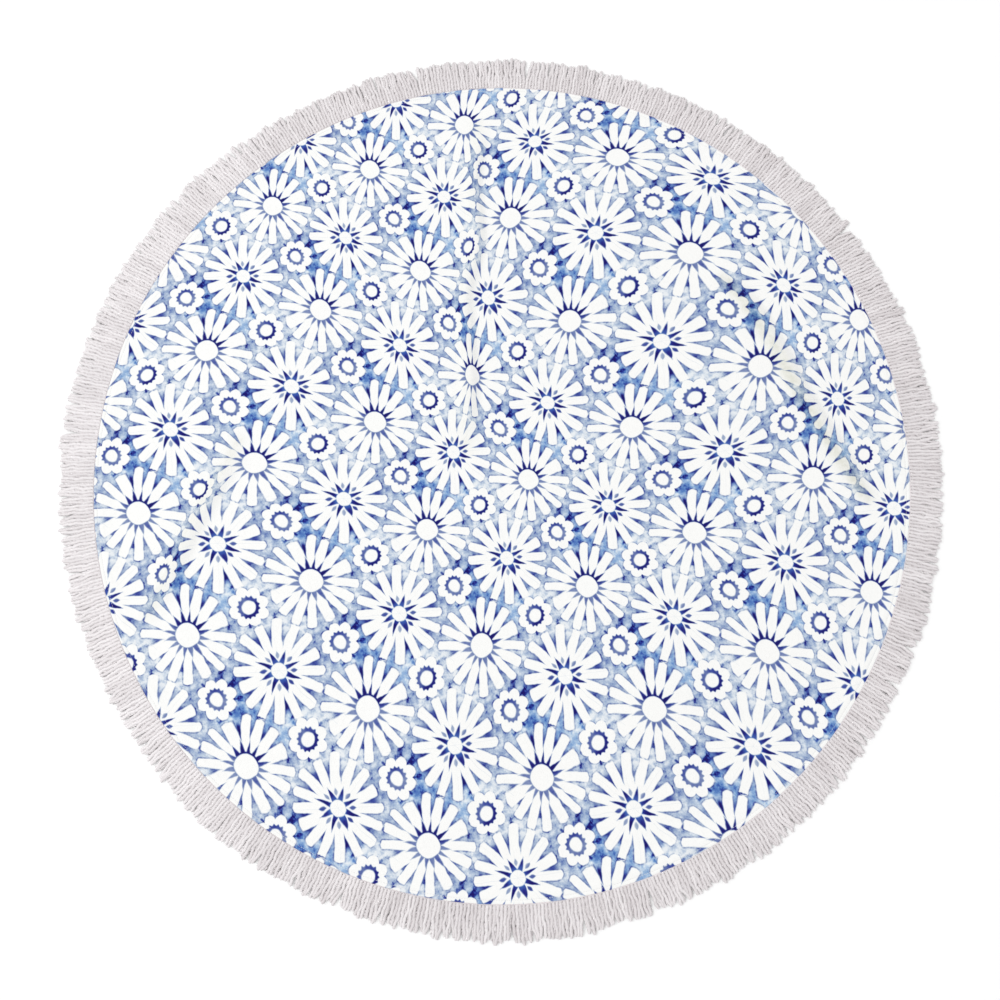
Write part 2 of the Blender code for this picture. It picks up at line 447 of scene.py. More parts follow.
def bridge(outer, inner, outerCount, innerCount, upward):
    # faces between two rings of vertex numbers; the inner may have half as many
    faces = []
    for a in range(innerCount):
        b = (a + 1) % innerCount
        if outerCount == innerCount:
            faces.append((outer + a, outer + b, inner + b, inner + a))
        else:
            first, middle, last = (outer + (2 * a + step) % outerCount for step in range(3))
            faces += ((first, middle, inner + a), (middle, inner + b, inner + a),
                      (middle, last, inner + b))
    return faces if upward else [face[::-1] for face in faces]


def paintedCreaseShade(points):
    # painted shade: a grey band along one side of each crease
    shade = np.zeros(len(points))
    for crease in creases:
        distance, side, ends = besideCrease(points, crease, cloth["greyFade"])
        across = distance * (side @ np.array(crease["greyWay"])) - cloth["greyPlace"]
        shade += crease["grey"] * ends * np.exp(-(across / cloth["greyWidth"]) ** 2)
    return shade


def buildCloth(faceMaterial, backMaterial):
    verts, faces, kinds = [], [], []
    full = cloth["spokes"]
    radius, rounding = cloth["radius"], cloth["edgeRounding"]

    def addRing(points, heights):
        start = sum(len(block) for block in verts)
        verts.append(np.column_stack([points, heights]))
        return start

    def addFaces(made, kind):
        faces.extend(made)
        kinds.extend([kind] * len(made))

    def addLayer(radii, most, upward, kind, outerStart, outerCount):
        for ringRadius in (*radii, 0.0):
            count = spokeCount(ringRadius, most) if ringRadius else 1
            points = ringPoints(ringRadius, count)
            height = clothLift(points) + ripples(points)
            if upward:
                height = height + clothThickness(points)
            start = addRing(points, height)
            if ringRadius:
                addFaces(bridge(outerStart, start, outerCount, count, upward), kind)
                outerStart, outerCount = start, count
        fan = [(outerStart + a, outerStart + (a + 1) % outerCount, start)
               for a in range(outerCount)]
        addFaces(fan if upward else [face[::-1] for face in fan], kind)

    # the rounded edge, from the face down to the back
    low = clothLift(ringPoints(radius, full))
    half = cloth["hemThickness"] / 2
    starts = []
    for step in range(cloth["edgeSteps"] + 1):
        angle = math.pi / 2 - math.pi * step / cloth["edgeSteps"]
        inset = rounding * (1 - math.cos(angle))
        starts.append(addRing(ringPoints(radius - inset, full),
                              low + (half + half * math.sin(angle))))
    for a, b in zip(starts, starts[1:]):
        addFaces(bridge(b, a, full, full, True), 0)
    addLayer(ringRadii(), full, True, 0, starts[0], full)
    backRadii = [radius - inset for inset in (0.006, 0.0135, 0.0175)]
    count = round(backRadii[-1] / cloth["backSpacing"])
    backRadii += [backRadii[-1] * (1 - step / count) for step in range(1, count)]
    addLayer(backRadii, full // 2, False, 1, starts[-1], full)

    places = np.concatenate(verts)
    plan = cutPlan(places[:, :2])
    # painted crease shade, kept on the mesh for the face material
    paintedShade = paintedCreaseShade(places[:, :2])
    places[:, :2] += np.array(clothCentre)
    mesh = bpy.data.meshes.new("printedCloth")
    mesh.from_pydata(places.tolist(), [], faces)
    mesh.materials.append(faceMaterial)
    mesh.materials.append(backMaterial)
    mesh.polygons.foreach_set("material_index", kinds)
    mesh.polygons.foreach_set("use_smooth", [True] * len(faces))
    mesh.attributes.new("paintedCreaseShade", "FLOAT", "POINT").data.foreach_set("value", paintedShade)
    layer = mesh.uv_layers.new(name="cutPlan")
    loopVerts = np.empty(len(mesh.loops), dtype=np.int32)
    mesh.loops.foreach_get("vertex_index", loopVerts)
    layer.data.foreach_set("uv", plan[loopVerts].ravel())
    mesh.update()
    return mesh


printRepeat = {
    "pitch": 212.0,             # millimetres between large rosettes, and so all sizes here
    "turn": math.radians(26.2),
    "origin": (52.4, -25.5),
    "petals": 16,
    "petalHalf": 8.05,          # half width of a petal
    "wedgeSpread": 1.02,        # how the blue widens between petals
    "petalEnd": 77.0,
    "endVaries": 4.0,
    "petalSlope": 0.28,         # how pointed the petals' ends are
    "discRadius": 18.4,
    "spikeEnd": 37.5,
    "wedgeFade": (46.0, 67.0),  # where the wedges' ink gives way to the wash
    "fadeVaries": 14,
    "starDisc": 12.9,
    "starEnd": 33.5,
    "starPoints": 8,
    "leafStart": 17.5,
    "leafLength": 13.5,
    "smallDisc": 10.4,
    "smallRing": 15.7,
    "smallTeeth": 14,
    "smallBody": 24.6,
    "smallLobes": 7.2,
    "inkEdge": 1.4,
    "wobble": 4.2,
    "wobbleSize": 30.0,
    # the petals aren't spaced evenly: waves round the circle, how strong, and their phase
    "plainWaves": ((0, 0.025, math.pi / 2), (1, 0.029, 2.17), (2, 0.056, 3.05),
                   (4, 0.12, -2.77), (5, 0.026, 1.22), (8, 0.04, -2.61)),
    "starWaves": ((1, 0.021, -2.8), (2, 0.030, 0.44), (4, 0.025, -3.02), (6, 0.021, -2.94)),
    # dark wedges: angle in degrees, half width in radians; pale ones: angle, how much paler
    "plainDark": ((76, 0.06),),
    "plainPale": ((104, 0.30), (283, 0.14)),
    "starDark": ((-101, 0.20), (180, 0.26)),
    # square dark touches round one small rosette: angle, distance, half width, strength
    "blots": ((19, 35, 4.4, 0.30), (-22, 36, 3.6, 0.30), (55, 37, 3.6, 0.18),
              (-58, 40, 7.5, 0.14), (195, 34, 5.0, 0.14)),
}

# from bare cloth at 0 to the deepest ink at 1
inkTones = {
    "greyish": (
        (0.0, (0.935, 0.935, 0.92)), (0.08, (0.745, 0.785, 0.83)), (0.20, (0.525, 0.59, 0.695)),
        (0.34, (0.32, 0.39, 0.555)), (0.50, (0.15, 0.20, 0.42)), (0.66, (0.05, 0.077, 0.33)),
        (0.84, (0.014, 0.015, 0.20)), (1.0, (0.006, 0.003, 0.13))),
    "blue": (
        (0.0, (0.935, 0.935, 0.92)), (0.08, (0.715, 0.79, 0.86)), (0.20, (0.45, 0.585, 0.755)),
        (0.34, (0.25, 0.40, 0.65)), (0.50, (0.10, 0.22, 0.52)), (0.66, (0.038, 0.095, 0.39)),
        (0.84, (0.010, 0.018, 0.24)), (1.0, (0.006, 0.003, 0.13))),
}

pile = {
    "tufts": 760,           # short tufts, close together, to the metre
    "nap": 190,
    "backLoops": 420,
    "backClouds": 60,
    "paintedShadeLoss": (0.20, 0.20, 0.26),   # colour taken off by the painted crease shade
}


def makeFaceMaterial():
    material, tree = startMaterial("printedTerryFace")
    size = printRepeat

    uv = addNode(tree, "ShaderNodeUVMap", uv_map="cutPlan")
    split = addNode(tree, "ShaderNodeSeparateXYZ", [uv])
    x = Wire(split) * 1000 - size["origin"][0]
    y = Wire(split, 1) * 1000 - size["origin"][1]
    c, s = math.cos(size["turn"]) / size["pitch"], math.sin(size["turn"]) / size["pitch"]
    u = x * c + y * s
    v = y * c - x * s

    def lockedNoise(feature, detail, salt=0.0, rough=0.5):
        # noise that comes out alike in every repeat
        reach = size["pitch"] / feature / fullTurn
        aroundU, aroundV = u * fullTurn, v * fullTurn
        ring = addNode(tree, "ShaderNodeCombineXYZ", [
            aroundU.cos() * reach + salt, aroundU.sin() * reach, aroundV.cos() * reach])
        return addNode(tree, "ShaderNodeTexNoise", {
            "Vector": ring, "W": aroundV.sin() * reach, "Scale": 1.0,
            "Detail": detail, "Roughness": rough}, noise_dimensions="4D")

    # brush wobble moves every edge a little
    shake = addNode(tree, "ShaderNodeSeparateColor", [
        lockedNoise(size["wobbleSize"], 3.0).outputs["Color"]])
    amount = 2 * size["wobble"] / size["pitch"]
    uw = u + (Wire(shake) - 0.5) * amount
    vw = v + (Wire(shake, 1) - 0.5) * amount

    def polar(offsetU, offsetV):
        du = (uw - offsetU - (uw - offsetU).nearest()) * size["pitch"]
        dv = (vw - offsetV - (vw - offsetV).nearest()) * size["pitch"]
        return (du * du + dv * dv).root(), dv.join("ARCTAN2", du)

    def towards(angle, degrees):
        return (angle - math.radians(degrees)).cos()

    sector = fullTurn / size["petals"]

    def rosette(radius, angle, sway, tint, dark, shorter, taller, salt):
        # signed distance to the blue between the petals, and the wedge's tone
        place = angle / sector
        for waves, amount, phase in sway:
            place = place + (angle * waves + phase).sin() * amount
        petal = place.nearest()
        away = abs(place - petal)
        lateral = away * sector * radius
        chance = petal.wrap(size["petals"]).hash(salt)
        half = size["petalHalf"] * (0.93 + 0.14 * chance)
        spread = (radius * math.sin(sector / 2) - half) * size["wedgeSpread"]
        wedge = spread - (0.5 - away) * sector * radius
        end = size["petalEnd"] - size["endVaries"] * chance - lateral * size["petalSlope"]
        end = end - (angle * 4).cos().step(0.2, 1.0, 0.0, shorter) + (
            angle * 2 + math.radians(32.4)).cos() * -taller
        blue = wedge.softAbove(radius - end, 2.4)
        wedgeNumber = place.floor().wrap(size["petals"]) * 2
        tone = wedgeNumber.hash(salt + 5.3)
        strength = tone.step(0.05, 0.95, 0.30, 0.72) + tint
        for at, width in dark:
            strength = strength.above(towards(angle, at).step(math.cos(width), 1.0, 0.0, 1.25))
        long = wedgeNumber.hash(salt + 8.1)
        reached = radius + (long - 0.5) * size["fadeVaries"]
        return blue, strength * reached.step(*size["wedgeFade"], 1.0, 0.0)

    def spikes(radius, angle, count, phase, inner, outer, width, power, salt):
        place = angle * (count / fullTurn) + phase
        own = place.nearest().wrap(count)
        chance = own.hash(salt)
        lateral = abs(place - place.nearest()) * (fullTurn / count) * radius
        end = outer * (0.88 + 0.17 * chance)
        share = ((end - radius) / (end - inner)).above(0.0)
        stroke = share ** power * (0.85 + 0.3 * own.hash(salt + 9)) * width - lateral
        return (radius - inner).below(stroke).below((end - radius) * 0.3), chance

    # A is the plain rosette, B the one with a star, C and D the two small ones
    radiusA, angleA = polar(0.0, 0.0)
    radiusB, angleB = polar(0.5, 0.5)
    radiusC, angleC = polar(0.5, 0.0)
    radiusD, angleD = polar(0.0, 0.5)

    tintA = ((angleA - math.radians(40)) * 2).cos() * 0.17
    for at, less in size["plainPale"]:
        tintA = tintA - towards(angleA, at).step(0.975, 0.99, 0.0, less)
    tintB = towards(angleB, 210) * 0.14
    blueA, wedgeA = rosette(radiusA, angleA, size["plainWaves"], tintA, size["plainDark"],
                            5.5, 0.0, 3.0)
    blueB, wedgeB = rosette(radiusB, angleB, size["starWaves"], tintB, size["starDark"],
                            3.5, 3.6, 11.0)

    def smallBody(radius, angle):
        lobes = abs((angle * 4).cos()) ** 0.85
        return radius - (lobes * size["smallLobes"] + size["smallBody"])

    back = blueA.below(blueB).below(smallBody(radiusC, angleC)).below(smallBody(radiusD, angleD))

    # fine brush lines where neighbouring petals and lobes meet
    fine = Wire(lockedNoise(11.0, 3.0, 19.0, 0.6), "Fac")
    large, small = radiusA.below(radiusB), radiusC.below(radiusD)
    between = abs(radiusA - radiusB) + (36 - small).above(0.0)
    meeting = between.below(abs(large - small - 42.0))
    meeting = meeting + ((68 - large).above(0.0) + (28 - small).above(0.0)) * 0.5
    line = fine.step(0.36, 0.60, -0.2, 1.2) - meeting * 0.5
    back = back.above(line)

    lean = towards(angleA, 50)
    spikeA, chanceA = spikes(radiusA, angleA, 16, 0.5, size["discRadius"], size["spikeEnd"],
                             lean.step(0.3, 0.9, 3.8, 3.3), 0.75, 21.0)
    # a dark rim over the disc, thin elsewhere
    rimA = lean.step(0.35, 0.85, 0.8, 2.6)
    rimA = (radiusA - size["discRadius"]).below(size["discRadius"] + rimA - radiusA)
    spikeA = spikeA.above(rimA)
    # the wobble draws the star's disc out, so it starts a little short that way
    starDisc = ((angleB - math.radians(63.8)) * 2).cos() * -0.5 + size["starDisc"]
    bent = angleB + (angleB * 3 + 1.0).sin() * 0.03
    broadOnes = abs(towards(angleB, 90)).step(0.90, 0.97, 3.9, 5.7)
    spikeB, chanceB = spikes(radiusB, bent, size["starPoints"], -0.05, starDisc,
                             size["starEnd"], broadOnes, 0.68, 31.0)
    # small leaves between the star's points
    leafPlace = bent * (size["starPoints"] / fullTurn) + 0.45
    leafSide = abs(leafPlace - leafPlace.nearest()) * (fullTurn / size["starPoints"]) * radiusB
    leafShare = ((radiusB - size["leafStart"]) / size["leafLength"]).above(0.0).below(1.0)
    leaf = (leafShare * math.pi).sin() * 3.5 - leafSide - 0.8
    leafChance = leafPlace.nearest().wrap(size["starPoints"]).hash(41.0)

    def smallRing(radius, angle):
        teeth = (angle * size["smallTeeth"]).cos().above(-0.5) * 1.4
        return (radius - size["smallDisc"]).below(teeth + size["smallRing"] - radius)

    ringC, ringD = smallRing(radiusC, angleC), smallRing(radiusD, angleD)

    # the wash: broad pale and dark areas, and a deeper pool once in every repeat
    broad = Wire(lockedNoise(62.0, 1.5, 7.0), "Fac")
    pool = ((u - 0.25) * fullTurn).cos() * 0.5 + 0.5
    pool = (pool * (((v - 0.30) * fullTurn).cos() * 0.5 + 0.5)) ** 1.6
    wash = broad.step(0.38, 0.66, 0.11, 0.31) + pool * 0.09 + (fine - 0.5) * 1.05

    def blot(at, radius, half, strong):
        turned = angleD - math.radians(at)
        side = abs(turned.sin() * radiusD)
        away = abs(turned.cos() * radiusD - radius)
        return side.above(away).step(half, half + 1.6, strong, 0.0)

    blots = sum((blot(*row) for row in size["blots"][1:]), blot(*size["blots"][0]))
    wash = wash + blots * fine.step(0.35, 0.6, 0.7, 1.1) + fine.step(0.60, 0.70) * 0.30

    def notch(radius, angle, salt):
        # small dark touches where the lobes of a small rosette meet
        deep = abs((angle * 4).cos()).step(0.05, 0.40, 1.0, 0.0) * radius.step(31, 35, 1, 0)
        return deep * (angle * (4 / math.pi) + 0.5).nearest().wrap(8).hash(salt)

    notches = notch(radiusC, angleC, 51.0) + notch(radiusD, angleD, 57.0)
    wash = wash + notches * 0.7
    rim = back.step(0.3, 2.4, 0.34, 0.0) * fine.step(0.35, 0.6, 0.25, 1.0)
    wedge = (wedgeA + wedgeB).below(1.0)
    backTone = (wash + rim).above(0.06) * (1 - wedge) + wedge

    def mask(distance):
        return distance.step(-size["inkEdge"], size["inkEdge"])

    shadeA = towards(angleA, 52).step(0.1, 0.75, 0.56, 1.1)
    toneA = shadeA * (chanceA * 0.30 + 0.76)
    # the star's points are thinner ink towards the disc
    inner = radiusB.step(13.0, 25.0, 1.0, 0.0) * fine.step(0.35, 0.6, 0.5, 1.1)
    toneB = (chanceB * 0.30 + 0.80) * (1 - inner * 0.27)
    toneLeaf = (angleB + math.radians(40)).cos().step(0.2, 0.7, 0.24, 0.62) + leafChance * 0.2
    toneLeaf = toneLeaf + towards(angleB, 154).step(0.90, 0.97, 0.0, 0.36)
    toneC = (angleC + 0.9).cos().step(-0.8, 0.8, 0.58, 0.88)
    toneD = (angleD - 1.6).cos().step(-0.8, 0.8, 0.50, 0.66)
    ink = (mask(back) * backTone + mask(spikeA) * toneA + mask(spikeB) * toneB
           + mask(leaf) * toneLeaf + mask(ringC) * toneC + mask(ringD) * toneD)
    ink = ink * (fine * 0.8 + 0.6)

    # two inks: a greyish one, and a clear blue one in the wash's pools
    ink = ink.below(1.0)
    clear = back.step(0.3, 3.0) * (1 - wedge) * pool.step(0.0, 0.35, 0.30, 1.0)
    clear = clear + mask(spikeB) * inner
    dye = addNode(tree, "ShaderNodeMix", {
        0: clear, 6: makeRamp(tree, ink, inkTones["greyish"]),
        7: makeRamp(tree, ink, inkTones["blue"])}, data_type="RGBA")

    # velour pile
    sway = makeNoise(tree, pile["nap"], 4)
    height = sway * 0.6 - makeTufts(tree, pile["tufts"]) * 0.5
    # painted crease shade read from the mesh, broken up by the brush noise
    paintedShade = readAttribute(tree, "paintedCreaseShade") * fine.step(0.30, 0.60, 0.6, 1.1)
    # pile tone: partly painted shade where the pile dips between tufts, partly random sway
    grey = addNode(tree, "ShaderNodeCombineColor", [
        (height * 0.10 + 0.97) * (1 - paintedShade * loss) for loss in pile["paintedShadeLoss"]])
    shade = addNode(tree, "ShaderNodeMix", {0: 1.0, 6: dye.outputs[2], 7: grey},
                    data_type="RGBA", blend_type="MULTIPLY")
    finishMaterial(tree, shade.outputs[2], height, (0.55, 0.0009), sway * 0.10 + 0.85, 0.15,
                   0.12)
    return material


def makeBackMaterial():
    # unprinted terry: open loops, close together
    material, tree = startMaterial("plainTerryBack")
    tufts = makeTufts(tree, pile["backLoops"])
    fuzz = makeNoise(tree, pile["backClouds"], 4)
    # painted shade: darker in the gaps between the loops, with a random cloudy tone
    colour = makeRamp(tree, 1.05 - tufts * 0.7 + (fuzz - 0.5) * 0.4, (
        (0.0, (0.66, 0.66, 0.65)), (1.0, (0.89, 0.89, 0.87))))
    finishMaterial(tree, colour, fuzz * 0.4 - tufts, (0.8, 0.0015), fuzz * 0.1 + 0.88, 0.1)
    return material


clothMesh = buildCloth(makeFaceMaterial(), makeBackMaterial())
clothPiece = addPiece("printed_cloth", clothMesh, "printed_terry", "towel_cloth")
print("cloth:", len(clothMesh.vertices), "points")


# grain is how fine the fibres are, then how deep the painted shade down the yarns' sides is,
# and between which places, from left to right, the painted light on the fringe's left fades out
cottons = {
    "yarnCotton": {"light": (0.91, 0.875, 0.885), "dark": (0.62, 0.575, 0.585), "grain": 900,
                   "paintedSideShade": 0.62, "paintedLightSpan": (-0.55, -0.30)},
    "headingCotton": {"light": (0.92, 0.86, 0.875), "dark": (0.80, 0.74, 0.76), "grain": 700},
    "threadCotton": {"light": (0.88, 0.88, 0.87), "dark": (0.70, 0.70, 0.70), "grain": 1400},
}


def makeCottonMaterial(name):
    cotton = cottons[name]
    material, tree = startMaterial(name)
    fluff = makeNoise(tree, cotton["grain"], 4)
    each = readAttribute(tree, "phase") * 7.31
    each = each - each.floor()
    tone = fluff * 0.7 + makeNoise(tree, 22, 2) * 0.6 + each * 0.35 - 0.33
    if "paintedSideShade" in cotton:
        # painted shade down the yarns' sides, where they lie against each other; towards the
        # left it is weaker, under the painted light there
        across = Wire(addNode(tree, "ShaderNodeSeparateXYZ", [objectPlace(tree)]))
        # painted light: the fringe is drawn lighter towards the left, as if lit from that side
        paintedLeftLight = across.step(*cotton["paintedLightSpan"], 1.0, 0.0)
        side = readAttribute(tree, "flank").step(0.45, 1.0)
        tone = tone + 0.15 + paintedLeftLight * 0.20 - side * (paintedLeftLight * -0.22 + cotton["paintedSideShade"])
    colour = makeRamp(tree, tone, ((0.0, cotton["dark"]), (1.0, cotton["light"])))
    finishMaterial(tree, colour, fluff, (0.5, 0.0005), fluff * 0.12 + 0.84, 0.12, 0.15)
    return material


fringe = {
    "radius": 0.762,
    "centre": Vector((-0.0014, 0.0047)),
    "headingShowing": 0.006,
    "headingThickness": 0.0034,
    "edgeGap": 0.00015,
    "locks": 288,
    "yarns": 766,
    "plyWidth": 0.0033,      # two plies make one yarn
    "flatness": 0.84,
    "press": 0.60,           # how far the lying fringe is pressed down
    "turnLength": 0.017,
    "yarnHeight": 0.0042,
    "underWidth": 0.0029,    # the yarns of the trim's lower layer
    "underHeight": 0.0032,
    "underTurn": 0.021,
    "underFlatness": 0.6,
    "underShorter": 0.004,
    "partingLocks": 5,
    "leanPower": 1.515,
    "driftSize": 0.0040,
    "driftWaves": 6.0,
    "ragged": 0.0030,        # uneven lengths of the locks, and then of their yarns
    "yarnRagged": (-0.0035, 0.0015),
    "tipSlant": 0.0018,
    "waver": 0.0014,
    "waverTurns": 8.5,
    "crimp": 0.0007,         # short waves left by the plying
    "crimpTurns": 19,
    "stray": 0.0005,         # how far single yarns stray, and more at the top of the round
    "tousle": 0.0016,
    "clump": 0.42,           # how far the tips of a lock draw together, and from where on
    "clumpFrom": 0.55,
    "sag": 0.17,             # how far the tips come down, and from where on
    "sagFrom": 0.75,
    "unevenLift": 0.0005,
    "tuck": 0.0052,          # how far the yarns run in over the heading
    "seed": 12,
}

# how far the fringe's outline stands out of its circle, by angle in degrees
reach = (
    (0, 0.002), (15, 0.004), (36, 0.002), (50, -0.001), (80, -0.003), (120, -0.004),
    (135, 0.004), (155, 0.006), (175, 0.004), (190, 0.000), (214, -0.005), (235, -0.001),
    (252, -0.002), (270, 0.003), (288, -0.001), (305, 0.001), (335, -0.002), (360, 0.002),
)

# places where the fringe parts: angle in degrees, and how far each side leans away
partings = (
    (34, 0.0055), (76, 0.0030), (86, 0.0050), (103, 0.0045), (109, 0.0040), (176, 0.0030),
    (195, 0.0030), (233, 0.0030), (250, 0.0055), (271, 0.0035), (279.5, 0.0040),
    (289, 0.0055), (330.5, 0.0035), (335.5, 0.0035),
)


def reachAt(angle):
    for (start, low), (end, high) in zip(reach, reach[1:]):
        if start <= angle <= end:
            return low + (high - low) * float(smoothStep((angle - start) / (end - start)))
    return reach[-1][1]


def leanAt(turn):
    pitch = 360.0 / fringe["locks"]
    total = 0.0
    for place, size in partings:
        away = ((math.degrees(turn) - place + 180.0) % 360.0 - 180.0) / pitch
        if abs(away) < fringe["partingLocks"]:
            total += math.copysign(size * (1.0 - abs(away) / fringe["partingLocks"]) ** 2, away)
    place = Vector((math.cos(turn), math.sin(turn), 0.0)) * fringe["driftWaves"]
    return total + fringe["driftSize"] * noise.noise(place)


def lockShapes():
    # each lock's turn, length, lean, slant and clumping, in the order that the trim was cut
    chance = random.Random(fringe["seed"])
    root = cloth["radius"] + fringe["headingShowing"]
    locks = []
    for lock in range(fringe["locks"]):
        turn = fullTurn * (lock + 0.5) / fringe["locks"]
        outward = Vector((math.cos(turn), math.sin(turn)))
        length = fringe["radius"] + reachAt(math.degrees(turn))
        length += fringe["centre"].dot(outward) - root
        length += chance.uniform(-fringe["ragged"], fringe["ragged"])
        slant = chance.uniform(-fringe["tipSlant"], fringe["tipSlant"])
        # tips draw together more along the bottom of the round
        clump = chance.uniform(0.0, fringe["clump"]) * (1 - 0.35 * min(0.0, math.sin(turn)))
        locks.append((turn, length, leanAt(turn), slant, clump))
    return locks


def stepFrom(start, share):
    # smooth rise from 0 at start to 1 at the end
    return float(smoothStep((share - start) / (1 - start)))


def yarnLines(height, seed, arc=(0.0, 1.0), offset=0.0, shorter=0.0, sag=0.0, points=12):
    # centre lines of the yarns as one mesh of edges, each with its own phase
    chance = random.Random(seed)
    verts, edges, phases = [], [], []
    tuck = fringe["tuck"]
    root = cloth["radius"] + fringe["headingShowing"] - tuck
    pitch = fullTurn / fringe["locks"]
    locks = lockShapes()
    for yarn in range(fringe["yarns"]):
        share = (yarn + 0.5 + offset) / fringe["yarns"] % 1.0
        if not arc[0] <= share < arc[1]:
            continue
        turn, length, lean, slant, clump = locks[int(share * fringe["locks"])]
        ownTurn = share * fullTurn
        side = (ownTurn - turn) / pitch
        outward = Vector((math.cos(turn), math.sin(turn)))
        across = Vector((-outward.y, outward.x))
        start = Vector((math.cos(ownTurn), math.sin(ownTurn))) * root
        phase = chance.uniform(0, fullTurn)
        own = length + tuck + 2 * side * slant + chance.uniform(*fringe["yarnRagged"]) - shorter
        tousle = fringe["stray"] + fringe["tousle"] * max(0.0, math.sin(ownTurn)) ** 3
        ownLean = lean + chance.gauss(0, tousle)
        wave = chance.uniform(0, fullTurn)
        waver = fringe["waver"] * chance.uniform(0.3, 1.0)
        crimp = fringe["crimp"] * chance.uniform(0.4, 1.0)
        lift = chance.uniform(0.0, fringe["unevenLift"])
        for step in range(points):
            t = step / (points - 1)
            radius = root + own * t
            wide = pitch * radius * (1 - clump * stepFrom(fringe["clumpFrom"], t))
            sway = waver * math.sin(wave + t * fringe["waverTurns"])
            sway += crimp * math.sin(phase + t * fringe["crimpTurns"])
            sway *= min(1.0, 3 * t)
            place = outward * (start.dot(outward) + own * t)
            place += across * (side * wide + ownLean * t ** fringe["leanPower"] + sway)
            rise = height + lift + 0.0002 * math.sin(phase + 11 * t)
            rise *= 1 - sag * stepFrom(fringe["sagFrom"], t)
            verts.append((*(place + clothCentre), rise))
            phases.append(phase)
            if step:
                edges.append((len(verts) - 2, len(verts) - 1))
    mesh = bpy.data.meshes.new("yarnLines")
    mesh.from_pydata(verts, edges, [])
    mesh.attributes.new("phase", "FLOAT", "POINT").data.foreach_set("value", phases)
    return mesh


def startTree(name, made, inputs):
    # inputs are names, by the kind of their sockets
    tree = bpy.data.node_groups.new(name, "GeometryNodeTree")
    for kind, labels in (*inputs.items(), ("Material", ["Material"])):
        for label in labels:
            tree.interface.new_socket(label, in_out="INPUT", socket_type="NodeSocket" + kind)
    tree.interface.new_socket(made, in_out="OUTPUT", socket_type="NodeSocketGeometry")
    return tree, addNode(tree, "NodeGroupInput").outputs


def endTree(tree, shape, material):
    smooth = addNode(tree, "GeometryNodeSetShadeSmooth", [shape])
    real = addNode(tree, "GeometryNodeRealizeInstances", [smooth])
    finish = addNode(tree, "GeometryNodeSetMaterial", {0: real, "Material": material})
    addNode(tree, "NodeGroupOutput", [finish])
    return tree


def joinVectors(tree, operation, *values):
    return addNode(tree, "ShaderNodeVectorMath", values, operation=operation)


def stretch(tree, shape, factors):
    # factors for x, y and z
    place = addNode(tree, "GeometryNodeInputPosition")
    away = joinVectors(tree, "MULTIPLY", place, addNode(tree, "ShaderNodeCombineXYZ", factors))
    return addNode(tree, "GeometryNodeSetPosition", {0: shape, "Position": away})


def makeYarnTree():
    # lines -> twisted two-ply yarn
    tree, given = startTree("twistYarn", "Yarn", {
        "Geometry": ["Lines"], "Float": ["Ply Width", "Turn Length", "Flatness", "Press"],
        "Int": ["Rings", "Sides"]})
    curve = addNode(tree, "GeometryNodeMeshToCurve", [given["Lines"]])
    spline = addNode(tree, "GeometryNodeCurveSplineType", {"Curve": curve},
                     spline_type="CATMULL_ROM")
    even = addNode(tree, "GeometryNodeResampleCurve", {"Curve": spline, "Count": given["Rings"]})
    upright = addNode(tree, "GeometryNodeSetCurveNormal", [even], mode="Z_UP")

    along = addNode(tree, "GeometryNodeSplineParameter")
    phase = addNode(tree, "GeometryNodeInputNamedAttribute", {"Name": "phase"})
    turns = Wire(along, "Length") / given["Turn Length"]
    twist = turns.join("MULTIPLY_ADD", fullTurn, phase)
    tilt = addNode(tree, "GeometryNodeSetCurveTilt", {0: upright, "Tilt": twist})
    # the yarn's tip is cut, so it closes over a short length
    taper = addNode(tree, "ShaderNodeMapRange", [along, 0.93, 1.0, 1.0, 0.72])

    # section of the two plies side by side
    section = addNode(tree, "GeometryNodeCurvePrimitiveCircle", {
        "Resolution": given["Sides"], "Radius": given["Ply Width"]})
    section = stretch(tree, section, [1.0, given["Flatness"], 1.0])

    # keep the centre line's place, to know later how far out on the yarn a point is
    place = addNode(tree, "GeometryNodeInputPosition")
    middle = addNode(tree, "GeometryNodeStoreNamedAttribute", {
        "Name": "middle", "Geometry": tilt, "Value": place}, data_type="FLOAT_VECTOR")
    body = addNode(tree, "GeometryNodeCurveToMesh", {
        "Curve": middle, "Profile Curve": section, "Scale": taper, "Fill Caps": True})

    # 0 along the top of the yarn, 1 at its sides
    centre = addNode(tree, "GeometryNodeInputNamedAttribute", {"Name": "middle"},
                     data_type="FLOAT_VECTOR")
    gap = joinVectors(tree, "SUBTRACT", place, centre)
    out = joinVectors(tree, "LENGTH", joinVectors(tree, "MULTIPLY", gap, (1, 1, 0)))
    flank = addNode(tree, "GeometryNodeStoreNamedAttribute", {
        "Name": "flank", "Geometry": body, "Value": Wire(out, "Value") / given["Ply Width"]})
    clear = addNode(tree, "GeometryNodeRemoveAttribute", {"Name": "middle", "Geometry": flank})

    # the lying fringe is pressed down
    return endTree(tree, stretch(tree, clear, [1.0, 1.0, given["Press"]]), given["Material"])


def runTree(name, mesh, tree, **values):
    # run a node tree on a mesh and keep the plain result
    holder = addObject(name, mesh)
    modifier = holder.modifiers.new("make", "NODES")
    modifier.node_group = tree
    names = {item.name: item.identifier for item in tree.interface.items_tree
             if item.in_out == "INPUT"}
    for label, value in values.items():
        modifier[names[label.replace("_", " ")]] = value
    graph = bpy.context.evaluated_depsgraph_get()
    made = bpy.data.meshes.new_from_object(holder.evaluated_get(graph))
    made.name = name
    bpy.data.objects.remove(holder, do_unlink=True)
    return made


